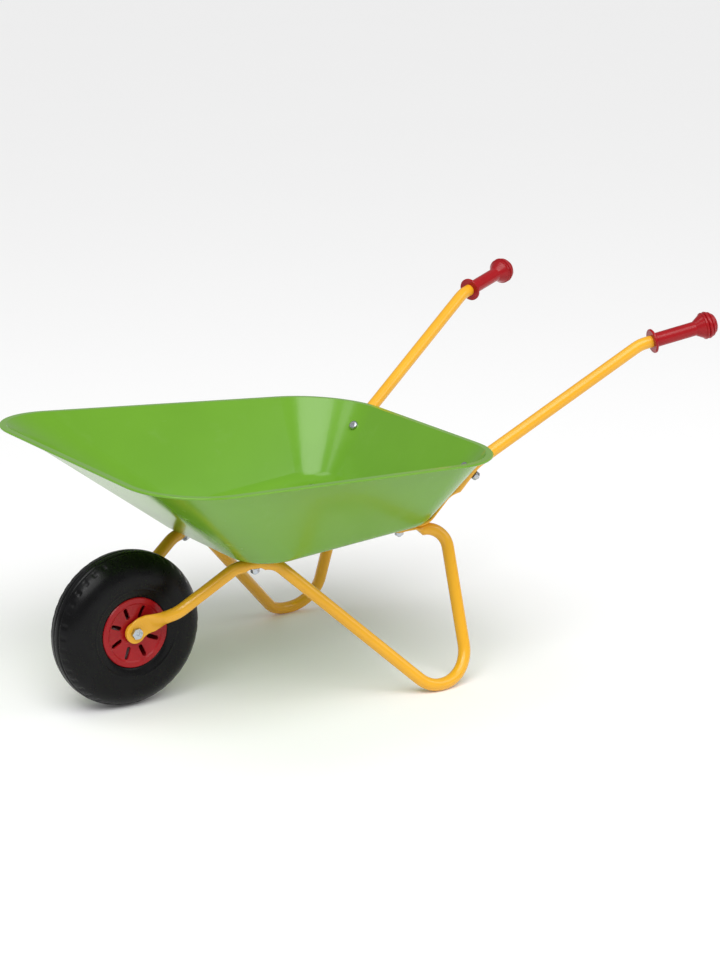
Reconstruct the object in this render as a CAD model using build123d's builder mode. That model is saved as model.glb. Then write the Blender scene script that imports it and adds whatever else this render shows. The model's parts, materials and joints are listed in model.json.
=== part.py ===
"""Child's steel wheelbarrow: a pressed tray on four bent tubes, with one wheel in front.

Millimetres.  +X points forward to the wheel, +Y to the user's left, +Z up.  The origin is on the
ground, under the middle of the overall length.  Places along the length are given as distances
behind the wheel axle, and the function at() turns them into points.
"""
import math
import os

from build123d import *

# ---------------------------------------------------------------- driving dimensions
# wheel
wheel_radius = 100.0
tyre_width = 60.0
tyre_wall = 6.0
tyre_squareness = 2.2
tyre_middle_radius = 66.0
tyre_outer_sweep = 124.0
tyre_inner_sweep = 118.0
tyre_foot = 7.0
rim_flange_radius = 45.3
rim_barrel_radius = 40.0
rim_width = 52.6
rim_wall = 2.4
rim_lip_radius = 38.4
flange_edge = 1.0
web_edge_radius = 36.5
web_edge_face = 25.0
web_thickness = 2.6
web_slots = 8
web_slot_length = 16.5
web_slot_width = 5.6
web_slot_middle = 27.6
boss_radius = 13.5
boss_half_length = 21.7

# axle
axle_bolt_radius = 4.0
axle_sleeve_radius = 6.0
axle_head_across = 13.0
axle_head_height = 5.3
axle_head_hollow = 0.6
axle_nut_height = 6.5
bush_radius = 9.0
bush_flange_radius = 11.5
bush_flange = 1.5
bush_length = 14.0

# bent tubes
tube_radius = 8.0
tube_wall = 1.2
flat_width = 22.0
fork_lug_width = 27.0
flat_thickness = 4.0
pressed_width = 18.5
pressed_thickness = 11.5
pressed_flat = 13.0
pressed_blend = 6.0

# tray
sheet = 1.0
mouth_front = 71.0
mouth_back = 453.5
mouth_front_half = 243.5
mouth_back_half = 202.5
mouth_front_height = 331.5
mouth_back_height = 296.5
mouth_front_corner = 84.5
mouth_back_corner = 98.5
lip_width = 6.5
bead_radius = 1.5
floor_front = 117.0
floor_back = 381.0
floor_front_half = 131.0
floor_back_half = 136.0
floor_front_height = 186.3
floor_back_height = 204.5
floor_front_corner = 60.0
floor_back_corner = 38.0
floor_fold = 28.0

# fork and leg tube
fork_lug_middle = 25.7
fork_line_side = 48.3
fork_line_height = 98.9
fork_rise = 34.4
fork_splay = 14.5
fork_bend = 30.0
joggle_bend = 14.0
fork_flat_end = 11.5
fork_blend_end = 34.0
fork_top_bend = 36.0
joggle_start = 10.0
joggle_end = 42.0
leg_front_back = 161.7
leg_front_side = 94.8
foot_front_back = 336.0
foot_front_side = 186.0
foot_back_back = 400.0
foot_back_side = 183.0
knee_back = 406.0
knee_side = 117.5
leg_bend = 28.0
bend_share = 0.98
foot_front_bend = 40.0
foot_back_bend = 45.0
knee_bend = 28.0
front_bolt_along = 23.5
leg_flat_end = 20.0
leg_blend_end = 31.5

# handle tube
rear_bolt_back = 345.0
rear_bolt_side = 102.0
handle_splay = 16.4
handle_pitch = 31.9
grip_pitch = 12.0
grip_bend_back = 660.0
wall_bolt_height = 265.0
handle_round_end = 38.0
handle_flat_start = 24.0
handle_bend = 40.0
grip_bend = 45.0
corner_bend = 24.0
tube_in_grip = 82.0

# grip
grip_flange_back = 675.2
grip_length = 92.0
grip_radius = 9.4
grip_flange_radius = 16.0
grip_flange = 3.5
grip_flange_edge = 0.8
grip_neck_rise = 1.0
grip_neck_run = 2.0
knob_radius = 18.0
knob_middle = 79.5
knob_swell = 18.0
grip_end_space = 1.0
# the knob's ridges, as distances beyond its middle and depths under its radius
knob_ridges = [
    (-7.0, 2.0),
    (-6.0, 0.6),
    (-4.6, 0.2),
    (-3.4, 0.9),
    (-2.6, 2.2),
    (-1.6, 0.5),
    (0.0, 0.0),
    (1.6, 0.6),
    (2.6, 2.6),
    (3.6, 1.6),
    (5.2, 1.9),
    (6.4, 3.0),
    (7.2, 5.0),
    (8.4, 4.6),
    (10.0, 5.8),
    (11.5, 8.5),
    (12.5, 11.0),
]

# small bolts
bolt_radius = 3.0
bolt_head_radius = 6.6
bolt_head_height = 3.3
nut_across = 10.0
nut_height = 5.0
washer_radius = 6.0
washer_thickness = 1.2
bolt_tip = 2.0
bolt_head_rounding = 0.9
bolt_end_chamfer = 0.2
nut_chamfer = 0.1

# clearances
running_clearance = 0.05
hole_clearance = 0.3
stack_gap = 0.05
bead_gap = 0.25
plate_gap = 0.6
wall_gap = 0.1
curved_seat = 0.3
twisted_seat = 0.31


# ---------------------------------------------------------------- frame of the model
def cosd(angle):
    return math.cos(math.radians(angle))


def sind(angle):
    return math.sin(math.radians(angle))


def tand(angle):
    return math.tan(math.radians(angle))


def grip_outline():
    """The outline of a grip as (distance along it, radius), from the flange to the knob's end."""
    return [
        (0.0, tube_radius + running_clearance),
        (0.0, grip_flange_radius - grip_flange_edge),
        (grip_flange_edge, grip_flange_radius),
        (grip_flange - grip_flange_edge, grip_flange_radius),
        (grip_flange, grip_flange_radius - grip_flange_edge),
        (grip_flange, grip_radius + grip_neck_rise),
        (grip_flange + grip_neck_run, grip_radius),
        (knob_middle - knob_swell, grip_radius),
        *((knob_middle + beyond, knob_radius - depth) for beyond, depth in knob_ridges),
    ]


grip_forward = cosd(grip_pitch) * cosd(handle_splay)
grip_sideways = math.sqrt(1.0 - grip_forward**2)
rear_reach = grip_flange_back + max(s * grip_forward + r * grip_sideways for s, r in grip_outline())
axle_x = (rear_reach - wheel_radius) / 2
axle_height = wheel_radius


def at(back, side, height):
    """The point this far behind the axle, to the left of the middle and above the ground."""
    return Vector(axle_x - back, side, height)


def along(start, end, distance):
    """The point this far from start on the straight line to end."""
    return start + (end - start).normalized() * distance


# ---------------------------------------------------------------- slopes of the tray
floor_slope = (floor_back_height - floor_front_height) / (floor_back - floor_front)
mouth_slope = (mouth_back_height - mouth_front_height) / (mouth_back + mouth_front)
floor_taper = (floor_front_half - floor_back_half) / (floor_back - floor_front)
mouth_taper = (mouth_front_half - mouth_back_half) / (mouth_back + mouth_front)


def floor_height(back):
    """The height of the tray's underside at this distance behind the axle."""
    return floor_front_height + floor_slope * (back - floor_front)


def mouth_height(back):
    """The height of the top of the lip at this distance behind the axle."""
    return mouth_front_height + mouth_slope * (back + mouth_front)


def below(distance, slope):
    """The drop straight down that is this distance square to a slope."""
    return distance * math.hypot(1.0, slope)


def corner_inset(corner, taper):
    """How far inside the rear corner's sides the middle of its rounding lies, across the width."""
    return corner * (math.hypot(1.0, taper) - taper)


floor_out = Vector(-floor_slope, 0, -1).normalized()
floor_plane = Plane(at(floor_front, 0, floor_front_height), x_dir=(1, 0, -floor_slope), z_dir=-floor_out)
mouth_plane = Plane(
    at(-mouth_front, 0, mouth_front_height), x_dir=(1, 0, -mouth_slope), z_dir=(mouth_slope, 0, 1)
)


# ---------------------------------------------------------------- tray
def tray_outline(plane, length, halves, corners, inset):
    """A round-cornered outline, wider in front, that runs back from the plane's origin."""
    front_half, back_half = (half - inset for half in halves)
    front_corner, back_corner = (corner - inset for corner in corners)
    with BuildSketch(plane) as outline:
        with BuildLine():
            Polyline(
                (-inset, front_half),
                (inset - length, back_half),
                (inset - length, -back_half),
                (-inset, -front_half),
                close=True,
            )
        make_face()
        fillet(outline.vertices().group_by(Axis.X)[-1], front_corner)
        fillet(outline.vertices().group_by(Axis.X)[0], back_corner)
    return outline.sketch


def floor_outline(inset=0.0, raised=0.0):
    """The edge of the tray's flat floor, before its fold is rounded."""
    return tray_outline(
        floor_plane.offset(raised),
        (floor_back - floor_front) * math.hypot(1.0, floor_slope),
        (floor_front_half, floor_back_half),
        (floor_front_corner, floor_back_corner),
        inset,
    )


def mouth_outline(inset=0.0, raised=0.0):
    """The top edge of the tray's walls.  A negative inset reaches out over the lip."""
    return tray_outline(
        mouth_plane.offset(raised),
        (mouth_back + mouth_front) * math.hypot(1.0, mouth_slope),
        (mouth_front_half, mouth_back_half),
        (mouth_front_corner, mouth_back_corner),
        inset,
    )


def tray_body(floor_inset, mouth_inset, raised, fold):
    """The tray's space, from its floor to its mouth, with the fold round the floor."""
    with BuildPart() as body:
        loft([floor_outline(floor_inset, raised), mouth_outline(mouth_inset)], ruled=True)
        fillet(body.faces().sort_by(Axis.Z)[0].edges(), fold)
    return body.part


side_lean = math.atan((mouth_back_half - floor_back_half) / (mouth_height(floor_back) - floor_back_height))
wall_inset = sheet / math.cos(side_lean)
floor_inset = wall_inset - sheet * math.tan(side_lean)


# ---------------------------------------------------------------- routes of the tubes
def fork_point(back):
    """The point on the fork arm's straight line at this distance behind the axle."""
    return at(back, fork_line_side + back * tand(fork_splay), fork_line_height + back * tand(fork_rise))


under_floor = below(tube_radius, floor_slope)
fork_top_back = (floor_height(0) - under_floor - fork_line_height) / (tand(fork_rise) - floor_slope)
fork_top = fork_point(fork_top_back)
leg_top = at(leg_front_back, leg_front_side, floor_height(leg_front_back) - under_floor)
foot_front = at(foot_front_back, foot_front_side, tube_radius)
foot_back = at(foot_back_back, foot_back_side, tube_radius)
leg_lug_depth = 1.5 * flat_thickness + 2 * stack_gap
leg_under_lug = leg_lug_depth + tube_radius - flat_thickness / 2
knee = at(knee_back, knee_side, floor_height(knee_back) - below(leg_under_lug, floor_slope))


def rear_bolt_point(depth):
    """The point on the rear floor bolt's line this far under the floor."""
    return at(rear_bolt_back, rear_bolt_side, floor_height(rear_bolt_back)) + floor_out * depth


def handle_side(back):
    """How far to the left the handle tube's middle is at this distance behind the axle."""
    return rear_bolt_side + (back - rear_bolt_back) * tand(handle_splay)


def handle_point(back, height):
    """A point in the upright plane that the handle tube is bent in."""
    return at(back, handle_side(back), height)


def facing_point(outline_back, outline_half, corner, taper):
    """Where a rear corner of the tray faces the way the handle runs, as (back, side)."""
    back = outline_back - corner * (1.0 - cosd(handle_splay))
    return back, outline_half - corner_inset(corner, taper) + corner * sind(handle_splay)


def along_handle(back, side):
    """How far a place lies in the direction that the handle runs, seen from above."""
    return back * cosd(handle_splay) + side * sind(handle_splay)


fold_back, fold_side = facing_point(floor_back, floor_back_half, floor_back_corner, floor_taper)
rim_back, rim_side = facing_point(mouth_back, mouth_back_half, mouth_back_corner, mouth_taper)
wall_run = along_handle(rim_back, rim_side) - along_handle(fold_back, fold_side)
wall_slope = (mouth_height(rim_back) - floor_height(fold_back)) / wall_run
wall_line_slope = wall_slope / cosd(handle_splay)
wall_out = Vector(-wall_slope * cosd(handle_splay), wall_slope * sind(handle_splay), -1).normalized()


def wall_height(back):
    """The height of the rear corner's outer face above the handle tube, this far behind the axle."""
    run = along_handle(back, handle_side(back)) - along_handle(fold_back, fold_side)
    return floor_height(fold_back) + wall_slope * run


handle_slope = tand(handle_pitch) / cosd(handle_splay)
grip_slope = tand(grip_pitch) / cosd(handle_splay)
bead_corner = mouth_back_corner + lip_width
bead_corner_side = mouth_back_half + lip_width - corner_inset(bead_corner, mouth_taper)
bead_swing = handle_side(mouth_back + lip_width) - bead_corner_side
bead_back = mouth_back + lip_width - bead_corner + math.sqrt(bead_corner**2 - max(bead_swing, 0.0) ** 2)
bead_clear = tube_radius + bead_radius + bead_gap
handle_at_bead = mouth_height(bead_back) - bead_radius - below(bead_clear, handle_slope)


def handle_line(back):
    """The height of the straight handle's middle at this distance behind the axle."""
    return handle_at_bead + handle_slope * (back - bead_back)


wall_drop = below(tube_radius + wall_gap, wall_slope)
plate_drop = below(flat_thickness / 2 + plate_gap, wall_slope)
plate_depth = flat_thickness / 2 + stack_gap
handle_foot_back = (handle_line(0) - wall_height(0) + wall_drop) / (wall_line_slope - handle_slope)
handle_foot = handle_point(handle_foot_back, handle_line(handle_foot_back))
plate_corner_back = (floor_height(0) - below(plate_depth, floor_slope) - wall_height(0) + plate_drop) / (
    wall_line_slope - floor_slope
)
plate_corner = handle_point(plate_corner_back, wall_height(plate_corner_back) - plate_drop)
plate_start_back = floor_back + handle_flat_start
plate_start = handle_point(plate_start_back, wall_height(plate_start_back) - plate_drop)
round_end_back = floor_back + handle_round_end
round_end = handle_point(round_end_back, wall_height(round_end_back) - wall_drop)
grip_corner = handle_point(grip_bend_back, handle_line(grip_bend_back))
grip_direction = Vector(-grip_forward, cosd(grip_pitch) * sind(handle_splay), sind(grip_pitch))
grip_start = grip_corner + grip_direction * ((grip_flange_back - grip_bend_back) / grip_forward)


# ---------------------------------------------------------------- tube shapes
def round_run(points, bends):
    """A hollow round tube along straight runs joined by bends."""
    with BuildPart() as run:
        with BuildLine():
            route = FilletPolyline(*points, radius=bends)
        with BuildSketch(Plane(route @ 0, z_dir=route % 0)):
            Circle(tube_radius)
            Circle(tube_radius - tube_wall, mode=Mode.SUBTRACT)
        sweep()
    return run.part


def flattened_end(width, hole_point, hole_axis, route_points, bend, round_point):
    """A tube's end pressed flat round a bolt, and the piece where it swells back to round.

    The flat runs from the hole through route_points, and the swelling ends at round_point.
    """
    first = (route_points[0] - hole_point).normalized()
    with BuildPart() as end:
        with BuildLine():
            if len(route_points) > 1:
                route = FilletPolyline(hole_point, *route_points, radius=bend)
            else:
                route = Line(hole_point, route_points[0])
        with BuildSketch(Plane(hole_point, x_dir=hole_axis.cross(first), z_dir=first)):
            SlotOverall(width, flat_thickness)
        sweep()
        last = route % 1
        with BuildSketch(Plane(hole_point - hole_axis * (flat_thickness / 2), z_dir=hole_axis)):
            Circle(width / 2)
        extrude(amount=flat_thickness)
        flat_edge = end.faces().filter_by(GeomType.PLANE).sort_by_distance(route @ 1)[0]
        with BuildSketch(Plane(round_point, x_dir=hole_axis.cross(first), z_dir=last)) as full:
            Circle(tube_radius)
        loft([flat_edge, full.sketch.face()])
    return end.part


def pressed_run(start, end, wide, flat_middle, flat_length, blend_length):
    """A straight run pressed thinner round a bolt, flush with the round tube on its upper side."""
    direction = (end - start).normalized()
    offset_up = tube_radius - pressed_thickness / 2
    flat_start = flat_middle - direction * (flat_length / 2)
    flat_end = flat_middle + direction * (flat_length / 2)
    sections = []
    for point in (flat_start - direction * blend_length, flat_end + direction * blend_length):
        with BuildSketch(Plane(point, x_dir=wide, z_dir=direction)) as full:
            Circle(tube_radius)
        sections.append(full.sketch.face())
    with BuildPart() as run:
        with BuildSketch(Plane(flat_start, x_dir=wide, z_dir=direction)) as pressed:
            with Locations((0, -offset_up)):
                SlotOverall(pressed_width, pressed_thickness)
        extrude(amount=flat_length)
        front_face = run.faces().sort_by_distance(flat_start)[0]
        back_face = run.faces().sort_by_distance(flat_end)[0]
        loft([sections[0], front_face])
        loft([back_face, sections[1]])
    return run.part


# ---------------------------------------------------------------- bolts and nuts
def carriage_bolt(clamped):
    """A dome-headed bolt that stands on its seat and points along +Z."""
    length = clamped + washer_thickness + nut_height + bolt_tip
    with BuildPart() as bolt:
        Cylinder(bolt_head_radius, bolt_head_height, align=(Align.CENTER, Align.CENTER, Align.MAX))
        fillet(bolt.edges().sort_by(Axis.Z)[0], bolt_head_height * bolt_head_rounding)
        Cylinder(bolt_radius, length, align=(Align.CENTER, Align.CENTER, Align.MIN))
        chamfer(bolt.edges().sort_by(Axis.Z)[-1], bolt_radius * bolt_end_chamfer)
    return bolt.part


def hexagon_nut(across, height, bore_radius):
    """A hexagon nut that stands on its seat, with its corners turned off at both ends."""
    corner_radius = across / math.sqrt(3)
    with BuildPart() as nut:
        Cylinder(corner_radius, height, align=(Align.CENTER, Align.CENTER, Align.MIN))
        chamfer(nut.edges().filter_by(GeomType.CIRCLE), height * nut_chamfer, corner_radius - across / 2)
        with BuildSketch():
            RegularPolygon(across / 2, 6, major_radius=False)
            Circle(bore_radius, mode=Mode.SUBTRACT)
        extrude(amount=height, mode=Mode.INTERSECT)
    return nut.part


def flat_washer():
    """A flat washer that stands on its seat."""
    with BuildPart() as washer:
        with BuildSketch():
            Circle(washer_radius)
            Circle(bolt_radius + hole_clearance / 2, mode=Mode.SUBTRACT)
        extrude(amount=washer_thickness)
    return washer.part


def both_sides(seat, out):
    """The plane a bolt stands on at the left, and its mirror image on the right."""
    planes = []
    for side in (1, -1):
        outward = Vector(out.X, side * out.Y, out.Z)
        across = outward.cross(Vector(1, 0, 0))
        planes.append(Plane(Vector(seat.X, side * seat.Y, seat.Z), x_dir=across, z_dir=outward))
    return planes


def on_planes(shape, planes, distance):
    """Copies of a shape, each this far out along its plane's normal."""
    with BuildPart() as copies:
        with Locations(*[plane.offset(distance) for plane in planes]):
            add(shape)
    return copies.part


run_direction = (leg_top - fork_top).normalized()
front_bolt = fork_top + run_direction * front_bolt_along
wall_bolt_back = (wall_bolt_height + wall_drop - wall_height(0)) / wall_line_slope
wall_bolt = handle_point(wall_bolt_back, wall_bolt_height)
lug_stack = 2 * flat_thickness + 2 * stack_gap
corner_twist = abs(mouth_taper - floor_taper)
wall_stack = sheet + wall_gap + curved_seat + twisted_seat * bolt_head_radius * corner_twist
bolt_sets = {
    "front_floor": (front_bolt - floor_out * (tube_radius + sheet), floor_out, sheet + pressed_thickness),
    "rear_floor": (rear_bolt_point(-sheet), floor_out, sheet + lug_stack),
    "rear_wall": (wall_bolt - wall_out * (tube_radius + wall_stack), wall_out, wall_stack + 2 * tube_radius),
}

# ---------------------------------------------------------------- tray
with BuildPart() as lip:
    extrude(mouth_outline(-lip_width), amount=-sheet)
    extrude(mouth_outline(wall_inset), amount=-sheet, mode=Mode.SUBTRACT)

with BuildPart() as tray:
    add(tray_body(0.0, 0.0, 0.0, floor_fold))
    add(tray_body(floor_inset, wall_inset, sheet, floor_fold - sheet), mode=Mode.SUBTRACT)
    add(lip.part)
    bead_path = mouth_outline(-lip_width, -bead_radius).faces()[0].outer_wire()
    with BuildSketch(Plane(bead_path @ 0, z_dir=bead_path % 0)):
        Circle(bead_radius)
    sweep(path=bead_path)
    for seat, out, clamped in bolt_sets.values():
        with Locations(*both_sides(seat, out)):
            Cylinder(bolt_radius + hole_clearance / 2, 6 * sheet, mode=Mode.SUBTRACT)

# ---------------------------------------------------------------- fork and leg tubes
axle_lug = at(0, fork_lug_middle, axle_height)
joggle_in = at(joggle_start, fork_lug_middle, axle_height + joggle_start * tand(fork_rise))
joggle_out = fork_point(joggle_end)
leg_lug = rear_bolt_point(leg_lug_depth)
leg_run = rear_bolt_point(leg_under_lug)
knee_direction = (knee - leg_run).normalized()
pressed_half = pressed_flat / 2 + pressed_blend
fork_round_start = along(joggle_in, joggle_out, fork_blend_end)
leg_round_end = leg_run + knee_direction * leg_blend_end
leg_start = front_bolt + run_direction * pressed_half
leg_turn = math.acos(run_direction.dot((foot_front - leg_top).normalized()))
leg_bend_room = bend_share * (leg_top - leg_start).length / math.tan(leg_turn / 2)

with BuildPart() as left_fork_leg_tube:
    add(
        flattened_end(
            fork_lug_width,
            axle_lug,
            Vector(0, -1, 0),
            [joggle_in, along(joggle_in, joggle_out, fork_flat_end)],
            joggle_bend,
            fork_round_start,
        )
    )
    add(
        round_run(
            [fork_round_start, joggle_out, fork_top, front_bolt - run_direction * pressed_half],
            [fork_bend, fork_top_bend],
        )
    )
    add(
        pressed_run(
            fork_top, leg_top, floor_out.cross(run_direction), front_bolt, pressed_flat, pressed_blend
        )
    )
    add(
        round_run(
            [leg_start, leg_top, foot_front, foot_back, knee, leg_round_end],
            [min(leg_bend, leg_bend_room), foot_front_bend, foot_back_bend, knee_bend],
        )
    )
    add(
        flattened_end(
            flat_width, leg_lug, floor_out, [leg_lug + knee_direction * leg_flat_end], 0.0, leg_round_end
        )
    )
    with Locations(Plane(axle_lug, x_dir=(1, 0, 0), z_dir=(0, 1, 0))):
        Cylinder(axle_bolt_radius + hole_clearance / 2, 2 * flat_thickness, mode=Mode.SUBTRACT)
    with Locations(Plane(front_bolt, z_dir=floor_out), Plane(leg_lug, z_dir=floor_out)):
        Cylinder(bolt_radius + hole_clearance / 2, 3 * tube_radius, mode=Mode.SUBTRACT)

with BuildPart() as right_fork_leg_tube:
    mirror(left_fork_leg_tube.part, about=Plane.XZ)

# ---------------------------------------------------------------- handle tubes
with BuildPart() as left_handle_tube:
    add(
        flattened_end(
            flat_width,
            rear_bolt_point(plate_depth),
            floor_out,
            [plate_corner, plate_start],
            corner_bend,
            round_end,
        )
    )
    add(
        round_run(
            [round_end, handle_foot, grip_corner, grip_start + grip_direction * tube_in_grip],
            [handle_bend, grip_bend],
        )
    )
    with Locations(Plane(rear_bolt_point(plate_depth), z_dir=floor_out)):
        Cylinder(bolt_radius + hole_clearance / 2, 2 * flat_thickness, mode=Mode.SUBTRACT)
    with Locations(Plane(wall_bolt, z_dir=wall_out)):
        Cylinder(bolt_radius + hole_clearance / 2, 3 * tube_radius, mode=Mode.SUBTRACT)

with BuildPart() as right_handle_tube:
    mirror(left_handle_tube.part, about=Plane.XZ)

# ---------------------------------------------------------------- grips
grip_plane = Plane(grip_start, x_dir=grip_direction, z_dir=(sind(handle_splay), cosd(handle_splay), 0))
grip_bore_end = tube_in_grip + grip_end_space

with BuildPart() as left_grip:
    with BuildSketch(grip_plane):
        with BuildLine():
            Polyline(
                *grip_outline(),
                (grip_length, 0),
                (grip_bore_end, 0),
                (grip_bore_end, tube_radius + running_clearance),
                close=True,
            )
        make_face()
    revolve(axis=Axis(grip_start, grip_direction))

with BuildPart() as right_grip:
    mirror(left_grip.part, about=Plane.XZ)

# ---------------------------------------------------------------- wheel
wheel_section = Plane(at(0, 0, axle_height), x_dir=(0, 1, 0), z_dir=(1, 0, 0))
wheel_axis = Axis(at(0, 0, axle_height), (0, 1, 0))


def turned_ring(points):
    """A body turned about the wheel's axis from its outline as (place along the axle, radius)."""
    with BuildPart() as ring:
        with BuildSketch(wheel_section):
            with BuildLine():
                Polyline(*points, close=True)
            make_face()
        revolve(axis=wheel_axis)
    return ring.part


def tyre_curve(inset, end_angle, steps=12):
    """The tyre's squarish round section, from side to side over the tread."""
    power = 2 / tyre_squareness
    points = []
    for step in range(-steps, steps + 1):
        angle = end_angle * step / steps
        side = math.copysign(abs(sind(angle)) ** power, angle) * (tyre_width / 2 - inset)
        up = math.copysign(abs(cosd(angle)) ** power, cosd(angle)) * (
            wheel_radius - tyre_middle_radius - inset
        )
        points.append((side, tyre_middle_radius + up))
    return points


bead_side = rim_width / 2 - rim_wall - running_clearance
bead_seat = rim_barrel_radius + running_clearance

with BuildPart() as tyre:
    with BuildSketch(wheel_section):
        with BuildLine():
            outside = Spline(*tyre_curve(0.0, tyre_outer_sweep))
            inside = Spline(*tyre_curve(tyre_wall, tyre_inner_sweep))
            for side in (-1, 1):
                outer_end = outside @ 0 if side < 0 else outside @ 1
                inner_end = inside @ 0 if side < 0 else inside @ 1
                Polyline(
                    outer_end,
                    (side * bead_side, rim_flange_radius + running_clearance),
                    (side * bead_side, bead_seat),
                    (side * (bead_side - tyre_foot), bead_seat),
                    inner_end,
                )
        make_face()
    revolve(axis=wheel_axis)

face = rim_width / 2
barrel_inside = rim_barrel_radius - rim_wall

with BuildPart() as left_hub_half:
    add(
        turned_ring(
            [
                (0, bush_radius),
                (boss_half_length, bush_radius),
                (boss_half_length, boss_radius),
                (web_edge_face, web_edge_radius),
                (face, rim_lip_radius),
                (face, rim_flange_radius - flange_edge),
                (face - flange_edge, rim_flange_radius),
                (face - rim_wall, rim_flange_radius),
                (face - rim_wall, rim_barrel_radius),
                (0, rim_barrel_radius),
                (0, barrel_inside),
                (web_edge_face - web_thickness, barrel_inside),
                (boss_half_length - web_thickness, boss_radius),
                (0, boss_radius),
            ]
        )
    )
    with BuildSketch(Plane(at(0, face, axle_height), x_dir=(1, 0, 0), z_dir=(0, 1, 0))):
        with PolarLocations(web_slot_middle, web_slots, start_angle=180 / web_slots):
            SlotOverall(web_slot_length, web_slot_width)
    extrude(amount=boss_half_length - face - web_thickness, mode=Mode.SUBTRACT)

with BuildPart() as right_hub_half:
    mirror(left_hub_half.part, about=Plane.XZ)

bush_end = boss_half_length + bush_flange
with BuildPart() as left_bush:
    add(
        turned_ring(
            [
                (boss_half_length - bush_length, axle_sleeve_radius + running_clearance),
                (bush_end, axle_sleeve_radius + running_clearance),
                (bush_end, bush_flange_radius),
                (boss_half_length, bush_flange_radius),
                (boss_half_length, bush_radius),
                (boss_half_length - bush_length, bush_radius),
            ]
        )
    )

with BuildPart() as right_bush:
    mirror(left_bush.part, about=Plane.XZ)

# ---------------------------------------------------------------- axle
lug_inside = fork_lug_middle - flat_thickness / 2
lug_outside = fork_lug_middle + flat_thickness / 2
sleeve_bore = axle_bolt_radius + running_clearance
bolt_seat = Plane(at(0, lug_outside, axle_height), x_dir=(1, 0, 0), z_dir=(0, -1, 0))
nut_seat = Plane(at(0, -lug_outside, axle_height), x_dir=(1, 0, 0), z_dir=(0, -1, 0))

with BuildPart() as axle_sleeve:
    add(
        turned_ring(
            [
                (-lug_inside, sleeve_bore),
                (lug_inside, sleeve_bore),
                (lug_inside, axle_sleeve_radius),
                (-lug_inside, axle_sleeve_radius),
            ]
        )
    )

with BuildPart() as axle_bolt:
    with Locations(bolt_seat.offset(-axle_head_height)):
        add(hexagon_nut(axle_head_across, axle_head_height, axle_bolt_radius / 2))
    with Locations(bolt_seat.offset(-axle_head_height + axle_head_hollow)):
        Cylinder(
            axle_bolt_radius,
            2 * lug_outside + axle_nut_height + bolt_tip + axle_head_height - axle_head_hollow,
            align=(Align.CENTER, Align.CENTER, Align.MIN),
        )

with BuildPart() as axle_nut:
    with Locations(nut_seat):
        add(hexagon_nut(axle_head_across, axle_nut_height, axle_bolt_radius + running_clearance))

# ---------------------------------------------------------------- write the parts
pieces = {
    "tray": tray.part,
    "left_fork_leg_tube": left_fork_leg_tube.part,
    "right_fork_leg_tube": right_fork_leg_tube.part,
    "left_handle_tube": left_handle_tube.part,
    "right_handle_tube": right_handle_tube.part,
    "left_grip": left_grip.part,
    "right_grip": right_grip.part,
    "tyre": tyre.part,
    "left_hub_half": left_hub_half.part,
    "right_hub_half": right_hub_half.part,
    "left_bush": left_bush.part,
    "right_bush": right_bush.part,
    "axle_sleeve": axle_sleeve.part,
    "axle_bolt": axle_bolt.part,
    "axle_nut": axle_nut.part,
}
nut_bore = bolt_radius + running_clearance
for place, (seat, out, clamped) in bolt_sets.items():
    seats = both_sides(seat, out)
    pieces[place + "_bolts"] = on_planes(carriage_bolt(clamped), seats, 0.0)
    pieces[place + "_washers"] = on_planes(flat_washer(), seats, clamped)
    nut = hexagon_nut(nut_across, nut_height, nut_bore)
    pieces[place + "_nuts"] = on_planes(nut, seats, clamped + washer_thickness)

os.makedirs("parts", exist_ok=True)
for name, piece in pieces.items():
    piece.label = name
    export_step(piece, "parts/" + name + ".step")

print("axle at", round(axle_x, 3), "mm in front of the origin")
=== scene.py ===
"""Looks for a child's steel wheelbarrow: paint, plastic, rubber, zinc, tyre tread, light and camera."""

import json
import math

import bmesh
import bpy
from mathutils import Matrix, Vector


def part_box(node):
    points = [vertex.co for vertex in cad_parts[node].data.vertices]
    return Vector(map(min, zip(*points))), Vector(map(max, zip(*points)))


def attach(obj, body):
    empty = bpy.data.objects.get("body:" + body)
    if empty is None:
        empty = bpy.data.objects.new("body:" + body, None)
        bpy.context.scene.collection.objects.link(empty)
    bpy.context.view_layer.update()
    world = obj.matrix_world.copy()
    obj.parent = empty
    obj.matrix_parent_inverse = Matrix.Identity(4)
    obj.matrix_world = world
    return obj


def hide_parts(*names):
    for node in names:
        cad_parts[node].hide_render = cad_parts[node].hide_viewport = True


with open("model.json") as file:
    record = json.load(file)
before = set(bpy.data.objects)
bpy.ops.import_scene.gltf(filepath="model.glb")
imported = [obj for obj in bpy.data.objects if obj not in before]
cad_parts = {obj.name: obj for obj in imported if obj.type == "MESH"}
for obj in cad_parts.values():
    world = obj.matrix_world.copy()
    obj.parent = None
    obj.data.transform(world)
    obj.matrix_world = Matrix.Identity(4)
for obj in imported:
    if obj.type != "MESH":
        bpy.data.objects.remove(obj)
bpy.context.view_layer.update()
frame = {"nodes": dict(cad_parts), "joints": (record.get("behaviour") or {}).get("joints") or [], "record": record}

MM = 0.001
TURN = 2 * math.pi


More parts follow.
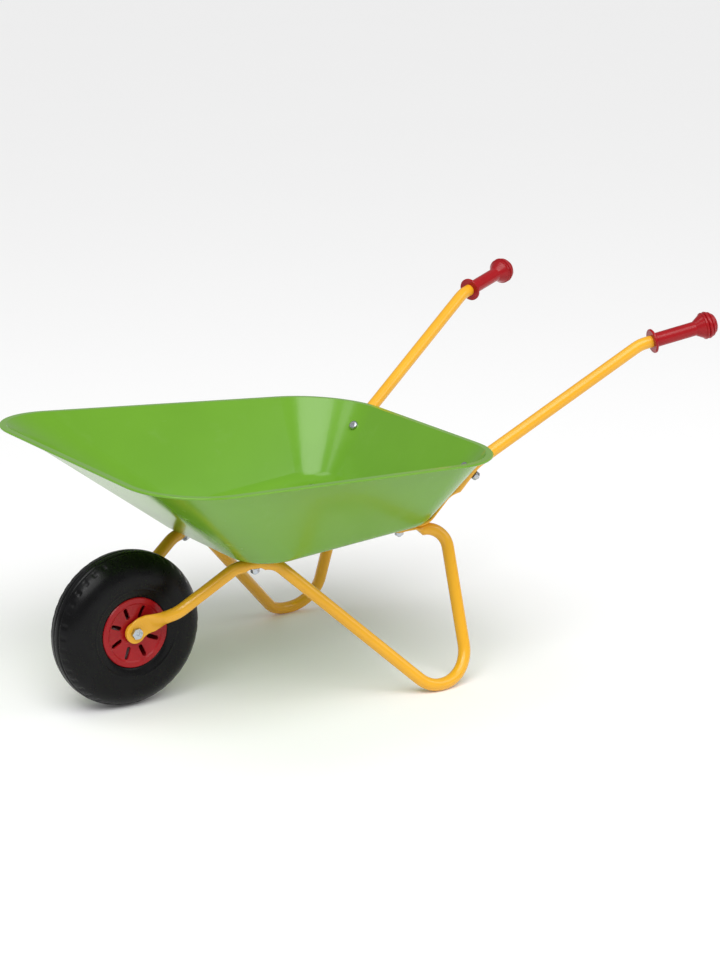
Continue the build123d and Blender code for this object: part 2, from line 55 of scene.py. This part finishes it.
# ---------------------------------------------------------------- shader expressions
class Reading:
    """A number that varies over a surface.  Arithmetic on it adds Math nodes to its finish."""

    def __init__(self, finish, socket):
        self.finish = finish
        self.socket = socket

    def maths(self, operation, first, second):
        made = self.finish.node("ShaderNodeMath", {"operation": operation}, {0: first, 1: second})
        return Reading(self.finish, made.outputs[0])

    def __add__(self, other):
        return self.maths("ADD", self, other)

    def __radd__(self, other):
        return self.maths("ADD", other, self)

    def __sub__(self, other):
        return self.maths("SUBTRACT", self, other)

    def __rsub__(self, other):
        return self.maths("SUBTRACT", other, self)

    def __mul__(self, other):
        return self.maths("MULTIPLY", self, other)

    def __rmul__(self, other):
        return self.maths("MULTIPLY", other, self)

    def between(self, low, high):
        """0 below low and 1 above high, with a smooth step between."""
        made = self.finish.node(
            "ShaderNodeMapRange",
            {"interpolation_type": "SMOOTHSTEP"},
            {"Value": self, "From Min": low, "From Max": high},
        )
        return Reading(self.finish, made.outputs[0])


class Finish:
    """A material under construction: one Principled surface and the nodes that feed it."""

    def __init__(self, name, **constants):
        self.material = bpy.data.materials.new(name)
        self.material.use_nodes = True
        self.tree = self.material.node_tree
        self.tree.nodes.clear()
        self.surface = self.node("ShaderNodeBsdfPrincipled", {}, constants)
        self.node("ShaderNodeOutputMaterial", {}, {"Surface": self.surface.outputs[0]})
        self.place = self.node("ShaderNodeTexCoord").outputs["Object"]

    def node(self, kind, settings=None, inputs=None):
        """A node of this type, with its settings made first and then its sockets' values or links."""
        made = self.tree.nodes.new(kind)
        for name, value in (settings or {}).items():
            setattr(made, name, value)
        for name, value in (inputs or {}).items():
            socket = made.inputs[name.replace("_", " ") if isinstance(name, str) else name]
            source = value.socket if isinstance(value, Reading) else value
            if isinstance(source, bpy.types.NodeSocket):
                self.tree.links.new(source, socket)
            else:
                socket.default_value = source
        return made

    def stretched(self, along_x, along_y, along_z):
        """The place on the piece, with each direction multiplied."""
        inputs = {"Vector": self.place, "Scale": (along_x, along_y, along_z)}
        return self.node("ShaderNodeMapping", {}, inputs).outputs[0]

    def noise(self, size, detail=2.0, roughness=0.5, place=None, distortion=0.0):
        """Cloudy noise whose blotches are about this many metres across."""
        inputs = {
            "Vector": place or self.place,
            "Scale": 1.0 / size,
            "Detail": detail,
            "Roughness": roughness,
            "Distortion": distortion,
        }
        return Reading(self, self.node("ShaderNodeTexNoise", {}, inputs).outputs["Fac"])

    def cells(self, size):
        """Distance from the middles of cells about this many metres across."""
        inputs = {"Vector": self.place, "Scale": 1.0 / size}
        made = self.node("ShaderNodeTexVoronoi", {"feature": "F1"}, inputs)
        return Reading(self, made.outputs["Distance"])

    def mixed(self, amount, first, second):
        """One colour turning into another."""
        made = self.node("ShaderNodeMix", {"data_type": "RGBA"}, {0: amount, 6: first, 7: second})
        return made.outputs[2]

    def bumped(self, height, depth, strength, under=None):
        """A surface direction tilted by a height that reads 0 to 1 and stands for this many metres."""
        inputs = {"Height": height, "Distance": depth, "Strength": strength}
        if under is not None:
            inputs["Normal"] = under
        return self.node("ShaderNodeBump", {}, inputs).outputs[0]

    def feed(self, **sockets):
        """Links readings, colours and directions into the surface."""
        for name, value in sockets.items():
            source = value.socket if isinstance(value, Reading) else value
            self.tree.links.new(source, self.surface.inputs[name.replace("_", " ")])
        return self.material


# ---------------------------------------------------------------- finishes
def powder_coat(name, colour, deep, pale, gloss):
    """Baked powder paint: orange peel, faint cloudiness, rubbed patches, fine dust and hairline scuffs."""
    paint = Finish(name, IOR=1.5, Coat_Roughness=0.05, Coat_IOR=1.45, Specular_IOR_Level=0.4)
    cloud = paint.noise(0.11, detail=3.0).between(0.3, 0.7)
    rubbed = paint.noise(0.035, detail=4.0, roughness=0.6).between(0.55, 0.8)
    scuff_run = paint.noise(0.0022, detail=2.0, place=paint.stretched(0.06, 1.0, 0.6)).between(0.73, 0.78)
    scuffs = scuff_run * paint.noise(0.05, detail=1.0).between(0.5, 0.66)
    dust = (1.0 - paint.cells(0.006).between(0.02, 0.07)) * paint.noise(0.02).between(0.56, 0.62)
    tone = paint.mixed(cloud * 0.6, colour, deep)
    tone = paint.mixed(rubbed * 0.10 + scuffs * 0.10 + dust * 0.12, tone, pale)
    peel = paint.noise(0.0032, detail=1.5, roughness=0.4)
    grit = paint.noise(0.0009, detail=1.0)
    facing = paint.bumped(peel, 0.00008, 0.5)
    facing = paint.bumped(grit, 0.00002, 0.3, under=facing)
    roughness = gloss + rubbed * 0.07 + scuffs * 0.18 + grit * 0.04
    coat = 0.16 - scuffs * 0.1 - rubbed * 0.05
    return paint.feed(Base_Color=tone, Roughness=roughness, Coat_Weight=coat, Normal=facing)


def moulded_plastic(name, colour, deep, pale):
    """Glossy injection-moulded plastic: fine spark texture, flow marks and a few handling scratches."""
    plastic = Finish(name, IOR=1.49, Coat_Roughness=0.1, Specular_IOR_Level=0.24)
    flow = plastic.noise(0.03, place=plastic.stretched(1.0, 0.35, 1.0), distortion=0.6).between(0.35, 0.68)
    scratch = plastic.noise(0.0025, place=plastic.stretched(0.1, 0.5, 1.0)).between(0.7, 0.75)
    worn = scratch * plastic.noise(0.03).between(0.45, 0.6)
    tone = plastic.mixed(flow * 0.5, colour, deep)
    tone = plastic.mixed(worn * 0.35, tone, pale)
    spark = plastic.noise(0.0007, detail=2.0)
    facing = plastic.bumped(spark, 0.00002, 0.35)
    facing = plastic.bumped(plastic.noise(0.008), 0.00006, 0.4, under=facing)
    roughness = 0.2 + flow * 0.06 + worn * 0.25 + spark * 0.06
    return plastic.feed(Base_Color=tone, Roughness=roughness, Coat_Weight=0.1 - worn * 0.08, Normal=facing)


def tyre_rubber():
    """Black rubber: mould bloom on the sidewalls, a dusty tread and a fine leathery skin."""
    rubber = Finish("tyre_rubber", IOR=1.5, Specular_IOR_Level=0.17)
    bloom = rubber.noise(0.03, detail=4.0, roughness=0.6).between(0.42, 0.72)
    specks = (1.0 - rubber.cells(0.005).between(0.03, 0.1)) * rubber.noise(0.02).between(0.5, 0.62)
    tone = rubber.mixed(bloom * 0.7, (0.0030, 0.0030, 0.0034, 1.0), (0.0060, 0.0060, 0.0070, 1.0))
    tone = rubber.mixed(specks * 0.5, tone, (0.05, 0.048, 0.045, 1.0))
    skin = rubber.noise(0.0011, detail=3.0, roughness=0.6)
    wave = rubber.noise(0.012, detail=1.0)
    facing = rubber.bumped(skin, 0.00006, 0.5)
    facing = rubber.bumped(wave, 0.0003, 0.35, under=facing)
    roughness = 0.23 + bloom * 0.12 + specks * 0.2 + skin * 0.06
    return rubber.feed(Base_Color=tone, Roughness=roughness, Normal=facing)


def zinc_plate():
    """Bright zinc plating: rolled grain, faint yellow passivation and small dull spots."""
    zinc = Finish("zinc", Metallic=1.0, IOR=2.0)
    grain = zinc.noise(0.0012, detail=3.0, place=zinc.stretched(1.0, 0.15, 1.0))
    dull = zinc.noise(0.004, detail=3.0).between(0.5, 0.72)
    warm = zinc.noise(0.009).between(0.42, 0.66)
    tone = zinc.mixed(warm * 0.5, (0.50, 0.54, 0.60, 1.0), (0.54, 0.52, 0.44, 1.0))
    tone = zinc.mixed(dull * 0.6, tone, (0.26, 0.27, 0.30, 1.0))
    facing = zinc.bumped(grain, 0.00003, 0.5)
    return zinc.feed(Base_Color=tone, Roughness=0.2 + grain * 0.12 + dull * 0.2, Normal=facing)


def bush_nylon():
    """Dull black nylon with a turned look and a little grease."""
    nylon = Finish("bush_plastic", IOR=1.5)
    turned = nylon.noise(0.0006, detail=1.0, place=nylon.stretched(0.3, 1.0, 0.3))
    grease = nylon.noise(0.005).between(0.45, 0.6)
    tone = nylon.mixed(grease * 0.6, (0.03, 0.03, 0.03, 1.0), (0.012, 0.011, 0.009, 1.0))
    facing = nylon.bumped(turned, 0.00003, 0.4)
    return nylon.feed(Base_Color=tone, Roughness=0.6 - grease * 0.35, Normal=facing)


finishes = {
    "tray_paint": powder_coat(
        "tray_paint", (0.150, 0.365, 0.018, 1.0), (0.135, 0.335, 0.015, 1.0), (0.28, 0.46, 0.13, 1.0), 0.2
    ),
    "tube_paint": powder_coat(
        "tube_paint", (0.85, 0.430, 0.020, 1.0), (0.78, 0.375, 0.015, 1.0), (0.88, 0.60, 0.20, 1.0), 0.22
    ),
    "red_plastic": moulded_plastic(
        "red_plastic", (0.35, 0.006, 0.010, 1.0), (0.28, 0.004, 0.008, 1.0), (0.46, 0.08, 0.08, 1.0)
    ),
    "tyre_rubber": tyre_rubber(),
    "zinc": zinc_plate(),
    "bush_plastic": bush_nylon(),
}
for part in frame["record"]["subparts"]:
    node = frame["nodes"][part["node"]]
    for place in node.material_slots:
        place.material = finishes[part["material_slot"]]

# ---------------------------------------------------------------- tyre with its tread
axle = Vector(frame["joints"][0]["pos_m"])
wheel_radius = (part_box("tyre")[1].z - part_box("tyre")[0].z) / 2
inside_box = 0.05 * MM
half_width = (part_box("tyre")[1].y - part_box("tyre")[0].y) / 2 - inside_box
section_middle = 66.0 * MM
squareness = 2.2
sidewall_end = math.radians(124)
bead_side = 23.85 * MM
flange_radius = 45.35 * MM
seat_radius = 40.05 * MM
foot = 7.0 * MM
foot_chamfer = 0.6 * MM
section_samples = 150
slope_step = 0.004
treaded_angle = math.radians(70)
notches = 40
steps_per_notch = 10
groove_places = (0.0, 8.5 * MM)
groove_half = 1.0 * MM
groove_edge = 0.7 * MM
groove_depth = 1.0 * MM
notch_reach = (12.5 * MM, 19.0 * MM)
notch_edge = 1.6 * MM
notch_share = 0.16
notch_depth = 0.6 * MM
sidewall_ring = 57.0 * MM
ring_height = 0.5 * MM
ring_half = 0.9 * MM
ring_edge = 0.8 * MM
ring_trough = 6.0 * MM
trough_edge = 8.0 * MM


def soft_edge(value, edge, width):
    """1 well inside an edge and 0 well outside it."""
    amount = min(max((edge - value) / width + 0.5, 0.0), 1.0)
    return amount * amount * (3.0 - 2.0 * amount)


def section_point(angle):
    """A point of the tyre's rounded section: place across the tyre and distance from the axle."""
    power = 2.0 / squareness
    across = math.copysign(abs(math.sin(angle)) ** power, angle) * half_width
    out = math.copysign(abs(math.cos(angle)) ** power, math.cos(angle)) * (wheel_radius - section_middle)
    return across, section_middle + out


def tread_cut(across, turn):
    """How deep the tread is cut here."""
    cut = 0.0
    for place in groove_places:
        cut = max(cut, groove_depth * soft_edge(abs(abs(across) - place), groove_half, groove_edge))
    middle = (notch_reach[0] + notch_reach[1]) / 2
    reach = (notch_reach[1] - notch_reach[0]) / 2
    inside = soft_edge(abs(abs(across) - middle), reach, notch_edge)
    phase = (turn / TURN * notches + (0.5 if across < 0 else 0.0)) % 1.0
    return max(cut, notch_depth * inside * soft_edge(abs(phase - 0.5), notch_share, notch_share))


def tyre_skin():
    """The tyre as one closed ring: feet, sidewalls and the cut tread."""
    profile = []
    for step in range(section_samples + 1):
        angle = sidewall_end * (2.0 * step / section_samples - 1.0)
        across, radius = section_point(angle)
        ahead = section_point(angle + slope_step)
        behind = section_point(angle - slope_step)
        slope = Vector((ahead[0] - behind[0], ahead[1] - behind[1])).normalized()
        profile.append((across, radius, slope, abs(angle) < treaded_angle))
    feet = [
        (bead_side, flange_radius),
        (bead_side, seat_radius + foot_chamfer),
        (bead_side - foot_chamfer, seat_radius),
        (bead_side - foot, seat_radius),
        (-bead_side + foot, seat_radius),
        (-bead_side + foot_chamfer, seat_radius),
        (-bead_side, seat_radius + foot_chamfer),
        (-bead_side, flange_radius),
    ]
    mesh = bmesh.new()
    rings = []
    around = notches * steps_per_notch
    for count in range(around):
        turn = TURN * count / around
        ring = []
        for across, radius, slope, treaded in profile:
            inward = Vector((slope.y, -slope.x))
            depth = tread_cut(across, turn) if treaded else 0.0
            if not treaded and radius < section_middle + trough_edge:
                from_ring = abs(radius - sidewall_ring)
                depth = ring_height * (1.0 - soft_edge(from_ring, ring_half, ring_edge))
                depth *= soft_edge(from_ring, ring_trough, trough_edge)
            ring.append((across + inward.x * depth, radius + inward.y * depth))
        ring += feet
        forward = math.sin(turn)
        up = math.cos(turn)
        rings.append(
            [mesh.verts.new(axle + Vector((out * forward, across, out * up))) for across, out in ring]
        )
    for count, ring in enumerate(rings):
        after = rings[(count + 1) % around]
        for place in range(len(ring)):
            ahead = (place + 1) % len(ring)
            mesh.faces.new((ring[place], ring[ahead], after[ahead], after[place]))
    bmesh.ops.recalc_face_normals(mesh, faces=mesh.faces)
    made = bpy.data.meshes.new("tyre_tread")
    mesh.to_mesh(made)
    mesh.free()
    made.polygons.foreach_set("use_smooth", [True] * len(made.polygons))
    made.materials.append(finishes["tyre_rubber"])
    piece = bpy.data.objects.new("tyre_tread", made)
    bpy.context.scene.collection.objects.link(piece)
    return piece


tread = tyre_skin()
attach(tread, "wheel")
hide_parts("tyre")


# ---------------------------------------------------------------- floor, light and camera
def aimed(thing, target):
    """Turns a lamp or camera to look at a point."""
    thing.rotation_euler = (Vector(target) - thing.location).to_track_quat("-Z", "Y").to_euler()


floor_mesh = bpy.data.meshes.new("studio_floor")
floor_reach = 30.0
floor_corners = [
    (-floor_reach, -floor_reach, 0),
    (floor_reach, -floor_reach, 0),
    (floor_reach, floor_reach, 0),
    (-floor_reach, floor_reach, 0),
]
floor_mesh.from_pydata(floor_corners, [], [(0, 1, 2, 3)])
floor = bpy.data.objects.new("studio_floor", floor_mesh)
bpy.context.scene.collection.objects.link(floor)
paper = Finish(
    "studio_paper",
    Roughness=0.7,
    Specular_IOR_Level=0.2,
    Emission_Color=(1.0, 1.0, 1.0, 1.0),
    Emission_Strength=0.04,
)
paper_cloud = paper.noise(0.6, detail=3.0) * 0.3
paper_tone = paper.mixed(paper_cloud, (0.93, 0.93, 0.93, 1.0), (0.90, 0.90, 0.905, 1.0))
paper_fibre = paper.bumped(paper.noise(0.002, detail=2.0), 0.0001, 0.15)
floor_mesh.materials.append(paper.feed(Base_Color=paper_tone, Normal=paper_fibre))


def hung(name, kind, place, target, power, **settings):
    """A lamp of this kind, hung in the studio and turned to its target."""
    lamp = bpy.data.lights.new(name, kind)
    for setting, value in settings.items():
        setattr(lamp, setting, value)
    lamp.energy = power
    holder = bpy.data.objects.new(name, lamp)
    holder.location = place
    bpy.context.scene.collection.objects.link(holder)
    aimed(holder, target)


def softbox(name, place, width, height, power):
    """A large square studio lamp that faces the barrow's middle."""
    hung(name, "AREA", place, barrow_middle, power, shape="RECTANGLE", size=width, size_y=height)


def broad_sun(name, place, spread, power):
    """Even light from one side of the sky, the same over the whole floor."""
    hung(name, "SUN", place, (0.0, 0.0, 0.0), power, angle=math.radians(spread))


barrow_middle = (0.0, 0.0, 0.22)
broad_sun("key_sun", (0.9, 1.5, 2.55), 50.0, 2.1)
softbox("corner_lamp", (1.7, 0.95, 2.15), 0.7, 0.7, 7.0)
softbox("side_lamp", (-1.6, 1.9, 1.9), 1.8, 1.4, 16.0)
softbox("top_lamp", (0.9, -0.6, 2.5), 0.7, 1.3, 7.0)

sky_strength = 0.36
world = bpy.data.worlds.new("studio")
world.use_nodes = True
sky = world.node_tree.nodes["Background"]
sky.inputs["Color"].default_value = (1.0, 1.0, 1.0, 1.0)
sky.inputs["Strength"].default_value = sky_strength
bpy.context.scene.world = world
bpy.context.scene.view_settings.view_transform = "Standard"
bpy.context.scene.view_settings.look = "None"

camera_from_axle = (1.49914, 2.74624, 1.17042)
yaw = math.radians(34.0135)
pitch = math.radians(15.7586)
camera_data = bpy.data.cameras.new("camera")
camera_data.sensor_width = 36.0
camera_data.lens = 98.58
camera_data.clip_end = 100.0
camera = bpy.data.objects.new("camera", camera_data)
camera.location = (axle.x + camera_from_axle[0], camera_from_axle[1], camera_from_axle[2])
looking = Vector((-math.sin(yaw) * math.cos(pitch), -math.cos(yaw) * math.cos(pitch), -math.sin(pitch)))
camera.rotation_euler = looking.to_track_quat("-Z", "Y").to_euler()
bpy.context.scene.collection.objects.link(camera)
bpy.context.scene.camera = camera

# ---------------------------------------------------------------- hand over
bpy.context.view_layer.update()
